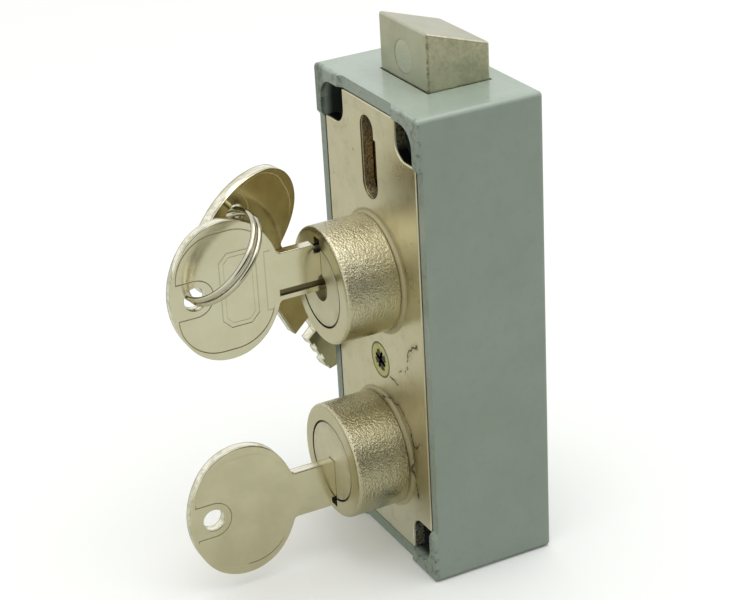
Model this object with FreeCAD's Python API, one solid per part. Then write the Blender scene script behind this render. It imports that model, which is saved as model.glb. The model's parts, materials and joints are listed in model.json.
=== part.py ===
import FreeCAD, Part
import math
import os

V = FreeCAD.Vector

# Millimetres. X is across the lock, Z is up along its length, and the noses point to -Y.
# The origin is the centre of the case's bottom face. A depth is measured from the plane of
# the four corner lugs towards the back.

# Case
case_width = 44.45
case_depth = 28.6
case_height = 104.8
case_wall = 2.6
case_floor = 2.5
case_edge_radius = 1.1
lug_edge_radius = 0.6
cavity_radius = 4.5
lug_size = 10.5
lug_rise = 0.9
lug_ramp = 1.2

# Corner pockets and mounting holes
pocket_width = 8.5
pocket_height = 8.4
pocket_depth = 7.6
pocket_wall = 1.5
pocket_shelf = 1.0
boss_step = 0.4
mount_hole_radius = 2.45

# Cover plate with its two noses
plate_gap = 0.3
plate_set_back = 0.76
plate_thickness = 2.64
notch_radius = 3.75
plate_edge_radius = 0.35
nose_radius = 12.7
nose_length = 13.1
nose_edge_radius = 0.9
nose_base_radius = 0.7
nose_spacing = 41.67
slot_width = 6.5
slot_nose_gap = 3.6
slot_top_gap = 3.05
slot_narrow_length = 4.55
slot_step = 0.9
slot_offset = -0.2

# Cover screw
screw_head_radius = 3.8
screw_shank_radius = 1.95
screw_length = 15.0
screw_boss_radius = 3.75
cross_span = 4.4
cross_arm = 0.9
cross_depth = 1.4

# Plugs
plug_radius = 8.95
running_gap = 0.1
plug_edge = 0.3
flange_radius = 10.0
flange_thickness = 1.0
stub_radius = 6.5
centre_hole_radius = 3.3
centre_hole_depth = 2.2
key_slot_width = 2.6
nose_notch_reach = 10.85

# Bolt and tail
bolt_boss_gap = 0.825
bolt_front_shelf = 1.0
bolt_throw = 12.4
bolt_front_rise = 12.35
bolt_back_rise = 7.8
bolt_edge_radius = 0.5
bolt_gap = 0.3
bolt_foot_drop = 2.0
bolt_foot_inset = 3.4
insert_radius = 3.5
insert_rise = 5.1
insert_depth = 2.5
fit_gap = 0.05
tail_thickness = 2.5
tail_side_gap = 1.025
tail_opening = 6.8
tail_lap = 4.6
tail_neck_gap = 0.425
tail_foot_rise = 10.52
tail_shoulder_radius = 3.0
tail_foot_radius = 2.0
tail_small_radius = 0.8
tail_rivet_radius = 1.1
tail_rivet_inset = 2.0
layer_gap = 0.3

# Cam and crank pin: a quarter turn carries the pin from 45 degrees above the level to 45 below
crank_radius = bolt_throw / math.sqrt(2)
crank_pin_radius = 1.6
cam_thickness = 1.5
cam_radius = 8.3
cam_lobe_radius = 2.6
talon_gap = 0.4

# Levers
lever_gap = 0.2
lever_back_space = 2.2
pivot_offset = 6.8
pivot_drop = 15.68
eye_wall_gap = 1.6
post_radius = 1.8
eye_radius = 3.2
ring_radius = 9.8
belly_gap = 1.2
arm_side_gap = 1.625
arm_rise = 11.65
arm_drop = 2.0
arm_corner_radius = 2.5
fence_radius = 1.6
fence_inset = 5.4
fence_height = 14.25
gate_gap = 0.55
idle_reach = 5.1
renter_reaches = [6.2, 5.6, 5.9, 5.4, 6.1, 5.7]
guard_reaches = [5.8, 6.2, 5.4, 6.0, 5.5, 5.9]
lever_count = len(renter_reaches)

# Lever springs
spring_thickness = 0.4
spring_touch = 3.2
spring_tip = 5.2
block_drop = 8.5
block_height = 4.0
block_thickness = 2.0

# Tail guides
guide_radius = 1.9
guide_inset = 4.0
guide_gap = 0.25
left_guide_drop = 4.75
right_guide_rise = 16.92

# Keys
key_thickness = 2.4
bow_half_length = 12.4
bow_half_height = 15.25
bow_end_radius = 11.0
bow_distance = 33.4
guard_bow_offset = 0.6
ring_hole_radius = 2.45
ring_hole_offset = 7.0
blade_back = 0.45
blade_height = 10.6
blade_start = -13.7
throat_reach = 8.15
throat_clearance = 0.1
collar_reach = 3.4
tip_gap = 1.5
tip_chamfer = 1.6
groove_bottom = 0.75
groove_height = 1.3
groove_depth = 0.5
neck_radius = 1.0

# Split ring and the spare key on it
ring_mean_radius = 10.35
wire_radius = 0.58
coil_pitch = 1.62
crossover_share = 0.28
ring_lean = 45.0
ring_slack = V(0, -0.9, 0.15)
spare_angle = 218.4
spare_slack = V(0.01, 0.05, -0.10)
spare_blade_direction = V(-0.334, 0.467, -0.819)
spare_face_direction = V(0.917, 0.362, -0.168)

# Places that follow from the sizes
half_width = case_width / 2
cavity_half = half_width - case_wall
cavity_top = case_height - case_wall
floor_depth = case_depth - case_floor
plate_back = plate_set_back + plate_thickness
tail_front = plate_back + layer_gap
tail_back = tail_front + tail_thickness
cam_front = tail_back + layer_gap
cam_back = cam_front + cam_thickness
lever_start = cam_back + layer_gap * 3
lever_end = floor_depth - lever_back_space
lever_pitch = (lever_end - lever_start) / lever_count
lever_thickness = lever_pitch - lever_gap
nose_front = plate_set_back - nose_length
guard_height = case_wall + eye_wall_gap + eye_radius + pivot_drop
renter_height = guard_height + nose_spacing
screw_height = (renter_height + guard_height) / 2
slot_bottom = renter_height + nose_radius + slot_nose_gap
slot_top = cavity_top - slot_top_gap
slot_step_height = slot_top - slot_narrow_length
tail_half_width = cavity_half - tail_side_gap
tail_neck_half_width = cavity_half - pocket_width - pocket_wall - tail_neck_gap
tail_shoulder = cavity_top - pocket_height - pocket_wall - layer_gap
tail_bottom = guard_height + tail_foot_rise
guide_offset = tail_half_width - guide_inset
left_guide_height = renter_height - left_guide_drop
right_guide_height = guard_height + right_guide_rise
arm_edge = cavity_half - arm_side_gap
fence_offset = arm_edge - fence_inset
bolt_width = 2 * (cavity_half - pocket_width - boss_step - bolt_boss_gap)
bolt_bottom = tail_shoulder - bolt_foot_drop
tail_top = bolt_bottom + tail_lap
insert_height = case_height + insert_rise
foot_half_width = bolt_width / 2 - bolt_foot_inset
tail_rivet_offset = foot_half_width - tail_rivet_inset
bolt_back = lever_end
bolt_front = pocket_depth + pocket_shelf + bolt_front_shelf
key_tip = floor_depth - tip_gap

os.makedirs("parts", exist_ok=True)


def at(x, depth, z):
    return V(x, depth - case_depth / 2, z)


def block(x0, x1, depth0, depth1, z0, z1):
    return Part.makeBox(x1 - x0, depth1 - depth0, z1 - z0, at(x0, depth0, z0))


def rod(x, z, radius, depth0, depth1):
    return Part.makeCylinder(radius, depth1 - depth0, at(x, depth0, z), V(0, 1, 0))


def cone(x, z, radius0, radius1, depth0, depth1):
    return Part.makeCone(radius0, radius1, depth1 - depth0, at(x, depth0, z), V(0, 1, 0))


def rounded_wire(corners, radii):
    """Closed wire through the corners, each rounded by its own radius (0 keeps it sharp)."""
    edges = []
    starts = []
    ends = []
    middles = []
    count = len(corners)
    for i, corner in enumerate(corners):
        before = (corners[i - 1] - corner).normalize()
        after = (corners[(i + 1) % count] - corner).normalize()
        half = before.getAngle(after) / 2
        reach = radii[i] / math.tan(half)
        bisector = (before + after).normalize()
        starts.append(corner + before * reach)
        ends.append(corner + after * reach)
        middles.append(corner + bisector * (radii[i] / math.sin(half) - radii[i]))
    for i in range(count):
        if radii[i] > 0:
            edges.append(Part.Arc(starts[i], middles[i], ends[i]).toShape())
        following = starts[(i + 1) % count]
        if ends[i].distanceToPoint(following) > 1e-6:
            edges.append(Part.LineSegment(ends[i], following).toShape())
    return Part.Wire(edges)


def slab(points, radii, depth0, depth1):
    """Flat piece: an outline in X and Z, carried from one depth to another."""
    corners = [at(x, depth0, z) for x, z in points]
    return Part.Face(rounded_wire(corners, radii)).extrude(V(0, depth1 - depth0, 0))


def slot_slab(x0, z0, x1, z1, radius, depth0, depth1):
    """Round-ended slot between two centres."""
    start = at(x0, depth0, z0)
    end = at(x1, depth0, z1)
    along = (end - start).normalize()
    side = along.cross(V(0, 1, 0)) * radius
    edges = [
        Part.LineSegment(start + side, end + side).toShape(),
        Part.Arc(end + side, end + along * radius, end - side).toShape(),
        Part.LineSegment(end - side, start - side).toShape(),
        Part.Arc(start - side, start - along * radius, start + side).toShape(),
    ]
    return Part.Face(Part.Wire(edges)).extrude(V(0, depth1 - depth0, 0))


def edges_where(shape, test):
    return [edge for edge in shape.Edges if test(edge)]


def save(name, shape):
    shape.exportStep("parts/" + name + ".step")


def mirrored(points, sign):
    return [(sign * x, z) for x, z in points]


def lock_case():
    body = Part.makeBox(case_width, case_depth, case_height, at(-half_width, 0, 0))
    front = at(0, 0, 0).y
    rear_edges = edges_where(body, lambda e: e.CenterOfMass.y > front + 1)
    body = body.makeFillet(case_edge_radius, rear_edges)
    front_edges = edges_where(body, lambda e: abs(e.CenterOfMass.y - front) < 1e-6)
    body = body.makeFillet(lug_edge_radius, front_edges)
    # rims between the corner lugs lie lower, with a short ramp at each lug
    lower_z = lug_size
    upper_z = case_height - lug_size
    side_rim = [
        at(-half_width - 1, -1, lower_z - lug_ramp * 0.1),
        at(-half_width - 1, 0, lower_z),
        at(-half_width - 1, lug_rise, lower_z + lug_ramp),
        at(-half_width - 1, lug_rise, upper_z - lug_ramp),
        at(-half_width - 1, 0, upper_z),
        at(-half_width - 1, -1, upper_z + lug_ramp * 0.1),
    ]
    rim_cut = Part.Face(Part.makePolygon(side_rim + side_rim[:1])).extrude(V(case_width + 2, 0, 0))
    lug_x = half_width - lug_size
    end_rim = [
        at(-lug_x - lug_ramp * 0.1, -1, -1),
        at(-lug_x, 0, -1),
        at(-lug_x + lug_ramp, lug_rise, -1),
        at(lug_x - lug_ramp, lug_rise, -1),
        at(lug_x, 0, -1),
        at(lug_x + lug_ramp * 0.1, -1, -1),
    ]
    end_cut = Part.Face(Part.makePolygon(end_rim + end_rim[:1])).extrude(V(0, 0, case_height + 2))
    cavity_points = [
        (-cavity_half, case_wall),
        (cavity_half, case_wall),
        (cavity_half, cavity_top),
        (-cavity_half, cavity_top),
    ]
    cavity = slab(cavity_points, [cavity_radius] * 4, -1, floor_depth)
    body = body.cut([rim_cut, end_cut, cavity])
    bosses = []
    cuts = []
    for side in (-1, 1):
        for low, inward in ((case_wall, 1), (cavity_top, -1)):
            bosses.extend(corner_boss(side, low, inward))
            cuts.extend(corner_pocket(side, low, inward))
    screw_boss = rod(0, screw_height, screw_boss_radius, plate_back, floor_depth + 0.5)
    half_pad = bolt_width / 2
    pad = block(
        -half_pad, half_pad, bolt_back + bolt_gap, floor_depth + 0.5, bolt_bottom - bolt_throw, cavity_top + 0.5
    )
    body = body.fuse(bosses + [screw_boss, pad]).removeSplitter()
    screw_hole = rod(0, screw_height, screw_shank_radius + fit_gap, plate_back - 1, plate_back + screw_length)
    half_bolt = bolt_width / 2 + bolt_gap
    bolt_way = block(
        -half_bolt, half_bolt, bolt_front - bolt_gap, bolt_back + bolt_gap, cavity_top - 1, case_height + 1
    )
    return body.cut(cuts + [screw_hole, bolt_way])


def corner_boss(side, low, inward):
    """Pillar of a mounting screw: wide under the cover plate, narrower beside the moving parts."""
    reach_x = pocket_width + pocket_wall
    reach_z = pocket_height + pocket_wall
    shelf = pocket_depth + pocket_shelf
    pieces = []
    for width, depth0, depth1 in (
        (reach_x, plate_back, shelf),
        (pocket_width + boss_step, shelf - 0.01, floor_depth + 0.5),
    ):
        x0, x1 = sorted((side * (cavity_half - width), side * (cavity_half + case_wall / 2)))
        z0, z1 = sorted((low - inward * case_wall / 2, low + inward * reach_z))
        pieces.append(block(x0, x1, depth0, depth1, z0, z1))
    return pieces


def corner_pocket(side, low, inward):
    """Open pocket at the lug's inner corner, and the mounting hole through its floor."""
    outer_x = side * cavity_half
    inner_x = side * (cavity_half - pocket_width)
    far_z = low + inward * pocket_height
    points = [(outer_x, low), (inner_x, low), (inner_x, far_z), (outer_x, far_z)]
    radii = [cavity_radius, 0, notch_radius, 0]
    pocket = slab(points, radii, -1, pocket_depth)
    x, z = mount_hole_place(side, low, inward)
    return [pocket, rod(x, z, mount_hole_radius, pocket_depth - 1, case_depth + 1)]


def mount_hole_place(side, low, inward):
    return side * (cavity_half - pocket_width / 2), low + inward * pocket_height / 2


def cover_plate():
    edge_x = cavity_half - plate_gap
    low = case_wall + plate_gap
    high = cavity_top - plate_gap
    in_x = cavity_half - pocket_width
    in_low = case_wall + pocket_height
    in_high = cavity_top - pocket_height
    points = [
        (-in_x, low), (in_x, low), (in_x, in_low), (edge_x, in_low),
        (edge_x, in_high), (in_x, in_high), (in_x, high), (-in_x, high),
        (-in_x, in_high), (-edge_x, in_high), (-edge_x, in_low), (-in_x, in_low),
    ]
    sharp = plate_edge_radius
    radii = [sharp, sharp, notch_radius, sharp, sharp, notch_radius] * 2
    plate = slab(points, radii, plate_set_back, plate_back)
    front = at(0, plate_set_back, 0).y
    rim = edges_where(plate, lambda e: abs(e.CenterOfMass.y - front) < 1e-6)
    plate = plate.makeFillet(plate_edge_radius, rim)
    plate = plate.fuse([nose(renter_height), nose(guard_height)]).removeSplitter()
    cuts = []
    for height, up in ((renter_height, 1), (guard_height, -1)):
        cuts.append(rod(0, height, plug_radius + running_gap, nose_front - 1, plate_back + 1))
        seat = plate_back - flange_thickness
        cuts.append(rod(0, height, flange_radius + running_gap, seat, plate_back + 1))
        z0, z1 = sorted((height, height + up * nose_notch_reach))
        half_slot = key_slot_width / 2
        cuts.append(block(-half_slot, half_slot, nose_front - 1, plate_back + 1, z0, z1))
    cuts.extend(cover_slot())
    head_depth = screw_head_radius - screw_shank_radius
    cuts.append(rod(0, screw_height, screw_shank_radius + fit_gap, plate_set_back - 1, plate_back + 1))
    cuts.append(
        cone(
            0, screw_height, screw_head_radius + fit_gap, screw_shank_radius + fit_gap,
            plate_set_back, plate_set_back + head_depth,
        )
    )
    return plate.cut(cuts)


def nose(height):
    """Turned outline of a nose, with its soft front edge and the small flare at its root."""
    axis_start = at(0, nose_front, height)
    rise = nose_edge_radius * (1 - math.sqrt(0.5))
    flare = nose_base_radius * (1 - math.sqrt(0.5))
    edge_start = at(nose_radius - nose_edge_radius, nose_front, height)
    edge_middle = at(nose_radius - rise, nose_front + rise, height)
    edge_end = at(nose_radius, nose_front + nose_edge_radius, height)
    root_start = at(nose_radius, plate_set_back - nose_base_radius, height)
    root_middle = at(nose_radius + flare, plate_set_back - flare, height)
    root_end = at(nose_radius + nose_base_radius, plate_set_back, height)
    inside = at(nose_radius + nose_base_radius, plate_set_back + 0.5, height)
    axis_end = at(0, plate_set_back + 0.5, height)
    outline = Part.Wire(
        [
            Part.LineSegment(axis_start, edge_start).toShape(),
            Part.Arc(edge_start, edge_middle, edge_end).toShape(),
            Part.LineSegment(edge_end, root_start).toShape(),
            Part.Arc(root_start, root_middle, root_end).toShape(),
            Part.LineSegment(root_end, inside).toShape(),
            Part.LineSegment(inside, axis_end).toShape(),
            Part.LineSegment(axis_end, axis_start).toShape(),
        ]
    )
    return Part.Face(outline).revolve(axis_start, V(0, 1, 0), 360)


def cover_slot():
    """Long slot above the renter's nose, a little narrower above its step."""
    low = plate_set_back - 1
    high = plate_back + 1
    half = slot_width / 2
    wide = slot_slab(
        slot_offset, slot_bottom + half, slot_offset, slot_step_height, half, low, high
    ).cut(block(-half_width, half_width, low, high, slot_step_height, case_height))
    narrow = half - slot_step / 2
    top = slot_slab(
        slot_offset - slot_step / 2, slot_bottom + half * 2,
        slot_offset - slot_step / 2, slot_top - narrow, narrow, low, high,
    )
    return [wide, top]


def cover_screw():
    head_depth = screw_head_radius - screw_shank_radius
    head = cone(
        0, screw_height, screw_head_radius, screw_shank_radius,
        plate_set_back, plate_set_back + head_depth,
    )
    shank = rod(
        0, screw_height, screw_shank_radius,
        plate_set_back + head_depth - 0.1, plate_back + screw_length - 1,
    )
    screw = head.fuse(shank).removeSplitter()
    half = cross_span / 2
    arm = cross_arm / 2
    deep = plate_set_back + cross_depth
    across = block(-half, half, plate_set_back - 1, deep, screw_height - arm, screw_height + arm)
    upright = block(-arm, arm, plate_set_back - 1, deep, screw_height - half, screw_height + half)
    cross = across.fuse(upright)
    cross.rotate(at(0, 0, screw_height), V(0, 1, 0), 20)
    return screw.cut(cross)


def plug(height, up, with_centre_hole):
    """Turning plug: round front in the nose, flange under the plate, stub through the tail."""
    body = rod(0, height, plug_radius, nose_front + 0.05, plate_back)
    tip = at(0, nose_front + 0.05, 0).y
    rim = edges_where(body, lambda e: abs(e.CenterOfMass.y - tip) < 1e-6)
    body = body.makeChamfer(plug_edge, rim)
    flange = rod(
        0, height, flange_radius, plate_back - flange_thickness + fit_gap, plate_back
    )
    stub = rod(0, height, stub_radius, plate_back - 1, cam_back)
    body = body.fuse([flange, stub]).removeSplitter()
    half_slot = key_slot_width / 2
    z0, z1 = sorted((height - up * (blade_back + 0.15), height + up * (flange_radius + 1)))
    cuts = [block(-half_slot, half_slot, nose_front - 1, cam_back + 1, z0, z1)]
    if with_centre_hole:
        cuts.append(rod(0, height, centre_hole_radius, nose_front - 1, nose_front + centre_hole_depth))
    return body.cut(cuts)


def crank_place(height):
    reach = crank_radius / math.sqrt(2)
    return reach, height + reach


def cam_washer(height, with_lobe):
    washer = rod(0, height, cam_radius, cam_front, cam_back)
    if with_lobe:
        x, z = crank_place(height)
        washer = washer.fuse(rod(x, z, cam_lobe_radius, cam_front, cam_back)).removeSplitter()
    return washer.cut(rod(0, height, stub_radius + fit_gap, cam_front - 1, cam_back + 1))


def crank_pin():
    x, z = crank_place(renter_height)
    return rod(x, z, crank_pin_radius, tail_front + 0.2, cam_front)


def bolt():
    half = bolt_width / 2
    front = bolt_front
    back = bolt_back
    outline = [
        at(-half, front, bolt_bottom),
        at(-half, back, bolt_bottom),
        at(-half, back, case_height + bolt_back_rise),
        at(-half, front, case_height + bolt_front_rise),
    ]
    head = Part.Face(Part.makePolygon(outline + outline[:1])).extrude(V(bolt_width, 0, 0))
    head = head.makeFillet(bolt_edge_radius, edges_where(head, lambda e: e.CenterOfMass.z > bolt_bottom + 1))
    foot = block(-foot_half_width, foot_half_width, tail_back, front + 1, bolt_bottom, tail_top)
    body = head.fuse(foot).removeSplitter()
    cuts = [rod(0, insert_height, insert_radius, front - 1, front + insert_depth)]
    for side in (-1, 1):
        cuts.append(rivet_rod(side, fit_gap))
    return body.cut(cuts)


def rivet_rod(side, extra):
    middle = (bolt_bottom + tail_top) / 2
    return rod(
        side * tail_rivet_offset, middle, tail_rivet_radius + extra,
        tail_front + 0.1 - extra * 10, bolt_front - 1 + extra * 10,
    )


def bolt_insert():
    return rod(0, insert_height, insert_radius - fit_gap, bolt_front + fit_gap, bolt_front + insert_depth)


def bolt_tail():
    """Brass tail: a forked plate whose legs pass both plugs and carry the two fences."""
    neck = tail_neck_half_width
    wide = tail_half_width
    shoulder = tail_shoulder
    points = [
        (-wide, tail_bottom), (-tail_opening, tail_bottom),
        (-tail_opening, opening_top()), (tail_opening, opening_top()),
        (tail_opening, tail_bottom), (wide, tail_bottom),
        (wide, shoulder), (neck, shoulder), (neck, tail_top),
        (-neck, tail_top), (-neck, shoulder), (-wide, shoulder),
    ]
    inner = tail_opening - 0.5
    foot = tail_foot_radius
    small = tail_small_radius
    radii = [foot, small, inner, inner, small, foot, tail_shoulder_radius]
    radii += [small] * 4 + [tail_shoulder_radius]
    plate = slab(points, radii, tail_front, tail_back)
    x, z = crank_place(renter_height)
    notch_half = crank_pin_radius + talon_gap
    cuts = [
        slab(
            [
                (x - 1, z - notch_half), (crank_radius + notch_half, z - notch_half),
                (crank_radius + notch_half, z + notch_half), (x - 1, z + notch_half),
            ],
            [0, 0.8, 0.8, 0], tail_front - 1, tail_back + 1,
        )
    ]
    for side, height in ((-1, left_guide_height), (1, right_guide_height)):
        cuts.append(
            slot_slab(
                side * guide_offset, height, side * guide_offset, height + bolt_throw,
                guide_radius + guide_gap, tail_front - 1, tail_back + 1,
            )
        )
    for side in (-1, 1):
        cuts.append(rivet_rod(side, fit_gap))
    for side, height in ((1, renter_height), (-1, guard_height)):
        cuts.append(
            rod(
                side * fence_offset, height + fence_height, fence_radius - 0.4,
                tail_front - 1, tail_back + 1,
            )
        )
    return plate.cut(cuts)


def opening_top():
    return renter_height + stub_radius + bolt_throw + layer_gap


def fence(side, height):
    """Shouldered post, riveted into a leg of the tail, that drops into the lever gates."""
    x = side * fence_offset
    z = height + fence_height
    post = rod(x, z, fence_radius, tail_back, lever_end)
    tenon = rod(x, z, fence_radius - 0.4 - fit_gap, tail_front + 0.1, tail_back + 0.1)
    return post.fuse(tenon).removeSplitter()


def lift_angle(reach):
    """Angle in degrees through which the key lifts a lever."""
    return math.degrees((reach - idle_reach) / pivot_drop)


def lever(index, side, height, reach):
    """One lever in its rest place. It is drawn as lifted, where its belly is round about the plug
    and its gate lies on the fence's way, and then turned back about its pivot."""
    depth0 = lever_start + index * lever_pitch
    depth1 = depth0 + lever_thickness
    pivot = (-side * pivot_offset, height - pivot_drop)
    ring = rod(0, height, ring_radius, depth0, depth1)
    eye = rod(pivot[0], pivot[1], eye_radius, depth0, depth1)
    neck = lever_neck(pivot, height, side, depth0, depth1)
    arm_points = mirrored(
        [(0, height - arm_drop), (arm_edge, height - arm_drop), (arm_edge, height + arm_rise), (0, height + arm_rise)],
        side,
    )
    arm = slab(arm_points, [0, arm_corner_radius, 1, 1], depth0, depth1)
    body = ring.fuse([eye, neck, arm]).removeSplitter()
    turn = side * lift_angle(reach)
    start = at(side * fence_offset, depth0, height + fence_height)
    centre = at(pivot[0], depth0, pivot[1])
    seen = FreeCAD.Rotation(V(0, 1, 0), turn).multVec(start - centre) + centre
    gate = slot_slab(
        side * fence_offset, height + fence_height - bolt_throw, seen.x, seen.z,
        fence_radius + gate_gap, depth0 - 1, depth1 + 1,
    )
    belly = rod(0, height, reach + belly_gap, depth0 - 1, depth1 + 1)
    hole = rod(pivot[0], pivot[1], post_radius + fit_gap, depth0 - 1, depth1 + 1)
    body = body.cut([gate, belly, hole])
    body.rotate(centre, V(0, 1, 0), -turn)
    return body


def lever_neck(pivot, height, side, depth0, depth1):
    """Web between a lever's eye and its ring."""
    foot = V(pivot[0], 0, pivot[1])
    head = V(0, 0, height)
    across = (head - foot).normalize().cross(V(0, 1, 0)) * eye_radius
    corners = [foot + across, head + across * 2, head - across * 2, foot - across]
    return slab([(c.x, c.z) for c in corners], [0] * 4, depth0, depth1)


def lever_post(side, height):
    """Pivot post, riveted in the case's floor, with a head over the first lever."""
    x = -side * pivot_offset
    z = height - pivot_drop
    shank = rod(x, z, post_radius, lever_start - layer_gap, floor_depth)
    head = rod(x, z, eye_radius - 0.4, lever_start - layer_gap - 0.8, lever_start - layer_gap)
    collar = rod(x, z, eye_radius, lever_end, floor_depth)
    return shank.fuse([head, collar]).removeSplitter()


def guide_posts():
    posts = []
    for side, height in ((-1, left_guide_height), (1, right_guide_height)):
        foot = rod(side * guide_offset, height, guide_radius + 1, tail_back + layer_gap, floor_depth)
        post = rod(side * guide_offset, height, guide_radius, plate_back + 0.15, tail_back + layer_gap)
        posts.append(foot.fuse(post).removeSplitter())
    return Part.makeCompound(posts)


def spring_block(side, height):
    x0, x1 = sorted((side * (cavity_half - block_thickness), side * cavity_half))
    low = height - block_drop
    return block(x0, x1, lever_start, floor_depth, low, low + block_height)


def lever_springs(side, height, reaches):
    """One leaf for each lever, from the block up to the lever's arm at rest."""
    leaves = []
    root_x = cavity_half - block_thickness / 2
    root_z = height - block_drop + block_height
    for index, reach in enumerate(reaches):
        depth0 = lever_start + index * lever_pitch + 0.2
        swing = math.radians(lift_angle(reach)) * (pivot_drop + spring_touch)
        touch_x = arm_edge - swing + 0.1
        half = spring_thickness / 2
        points = [
            (root_x - half, root_z),
            (root_x + half, root_z),
            (root_x + half, root_z + 1.5),
            (touch_x + spring_thickness, height + spring_touch),
            (root_x, height + spring_tip),
            (root_x - spring_thickness, height + spring_tip),
            (touch_x, height + spring_touch),
            (root_x - half, root_z + 1.5),
        ]
        leaves.append(
            slab(mirrored(points, side), [0, 0, 1.0, 0.2, 0, 0, 0.6, 0.6], depth0, depth0 + lever_thickness - 0.4)
        )
    return Part.makeCompound(leaves)


def bow_wire(x):
    """Four-centred oval of the key's bow, about its own centre."""
    a = bow_half_height
    b = bow_half_length
    r = bow_end_radius
    big = (b * b + (a - r) ** 2 - r * r) / (2 * (b - r))
    join = V(0, big - b, a - r).normalize()
    corner = V(x, -(big - b), 0) + V(0, join.y, join.z) * big
    points = [V(x, corner.y, corner.z), V(x, corner.y, -corner.z), V(x, -corner.y, -corner.z), V(x, -corner.y, corner.z)]
    return Part.Wire(
        [
            Part.Arc(points[0], V(x, b, 0), points[1]).toShape(),
            Part.Arc(points[1], V(x, 0, -a), points[2]).toShape(),
            Part.Arc(points[2], V(x, -b, 0), points[3]).toShape(),
            Part.Arc(points[3], V(x, 0, a), points[0]).toShape(),
        ]
    )


def key_solid(up, reaches, bow_offset, groove_side):
    """A key about the plug's axis: y is the depth, z the height, and up is the blade's side."""
    half = key_thickness / 2
    full = blade_height - blade_back
    bow_y = -bow_distance - bow_offset
    bow_z = full - blade_height / 2
    bow = Part.Face(bow_wire(-half)).extrude(V(key_thickness, 0, 0))
    bow.translate(V(0, bow_y, up * bow_z))
    outline = [(bow_y, -blade_back), (bow_y, full), (blade_start, full), (blade_start, throat_reach)]
    throat_end = plate_back - throat_clearance
    outline += [(throat_end, throat_reach), (throat_end, collar_reach)]
    outline += [(lever_start - lever_gap / 2, collar_reach)]
    for index, reach in enumerate(reaches):
        start = lever_start - lever_gap / 2 + index * lever_pitch
        outline += [(start, reach), (start + lever_pitch, reach)]
    last = reaches[-1]
    outline[-1] = (key_tip - tip_chamfer, last)
    outline += [(key_tip, last - tip_chamfer * 1.6), (key_tip, -blade_back + 1), (key_tip - 1, -blade_back)]
    corners = [V(-half, y, up * z) for y, z in outline]
    blade = Part.Face(Part.makePolygon(corners + corners[:1])).extrude(V(key_thickness, 0, 0))
    key = bow.fuse(blade).removeSplitter()
    bow_edge = bow_y + bow_half_length
    necks = edges_where(
        key,
        lambda e: abs(e.CenterOfMass.x) < 1e-6
        and e.BoundBox.XLength > key_thickness - 0.01
        and bow_edge - 3 < e.CenterOfMass.y < bow_edge + 0.5,
    )
    key = key.makeFillet(neck_radius, necks)
    hole = Part.makeCylinder(
        ring_hole_radius, key_thickness + 2, V(-half - 1, bow_y - ring_hole_offset, up * bow_z), V(1, 0, 0)
    )
    groove_z = sorted((up * groove_bottom, up * (groove_bottom + groove_height)))
    groove_x = sorted((groove_side * (half - groove_depth), groove_side * (half + 1)))
    groove = Part.makeBox(
        groove_x[1] - groove_x[0], key_tip - bow_edge + 2, groove_z[1] - groove_z[0],
        V(groove_x[0], bow_edge - 0.8, groove_z[0]),
    )
    return key.cut([hole, groove]), V(0, bow_y - ring_hole_offset, up * bow_z)


def placed_key(up, reaches, height, bow_offset):
    key, hole = key_solid(up, reaches, bow_offset, up)
    key.translate(at(0, 0, height))
    return key, hole + at(0, 0, height)


def spare_key(hole_place):
    """The second renter's key, hung from the ring by its bow hole."""
    key, hole = key_solid(1, renter_reaches, 0, 1)
    key.translate(hole * -1)
    blade = V(spare_blade_direction).normalize()
    face = V(spare_face_direction)
    face = (face - blade * face.dot(blade)).normalize() * -1
    bits = face.cross(blade)
    turn = FreeCAD.Matrix(
        face.x, blade.x, bits.x, hole_place.x,
        face.y, blade.y, bits.y, hole_place.y,
        face.z, blade.z, bits.z, hole_place.z,
        0, 0, 0, 1,
    )
    return key.transformed(turn)


def arc_to_join(start, apex, end):
    """Arc from start to end, tangent to the lines through the apex."""
    middle = (start + end) * 0.5
    height = apex.distanceToPoint(middle)
    side = apex.distanceToPoint(start)
    half_chord = start.distanceToPoint(middle)
    towards = (middle - apex).normalize()
    top = apex + towards * (side * side / height - side * half_chord / height)
    return Part.Arc(start, top, end).toShape()


def coil_point(centre, first, second, axis, turn):
    """Point of the wire's centre line and its direction. Both coils are flat, and the wire
    crosses from one to the other about the full turn."""
    angle = 2 * math.pi * turn
    out = first * math.cos(angle) + second * math.sin(angle)
    along = second * math.cos(angle) - first * math.sin(angle)
    if abs(turn - 1) < crossover_share / 4:
        rise = 0
        slope = 1.5 * coil_pitch / (2 * math.pi * ring_mean_radius * crossover_share)
    else:
        rise = math.copysign(coil_pitch / 2, turn - 1)
        slope = 0
    return centre + out * ring_mean_radius + axis * rise, (along + axis * slope).normalize()


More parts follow.
